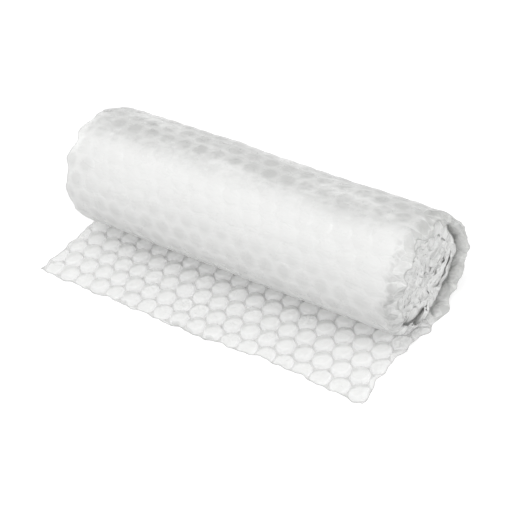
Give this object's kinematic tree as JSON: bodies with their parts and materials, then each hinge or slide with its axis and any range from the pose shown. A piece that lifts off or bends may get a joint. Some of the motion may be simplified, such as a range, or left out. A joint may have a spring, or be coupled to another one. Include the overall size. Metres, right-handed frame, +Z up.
{
  "type": "bubble film roll",
  "caption": "Roll of large air-bubble cushioning film lying on its side, with its bubbled loose end drawn out flat in front of it.",
  "frame": {"origin": "on the floor, under the middle of the roll and in the middle of its flat spot", "axes": "+X along the roll, -Y towards the loose end, +Z up"},
  "size_m": [0.51, 0.2286, 0.1549],
  "materials": {
    "film": "clear polyethylene film, milky white in layers, with a soft gloss"
  },
  "bodies": {
    "root": {"bubble_film_roll": "film"}
  },
  "joints": []
}
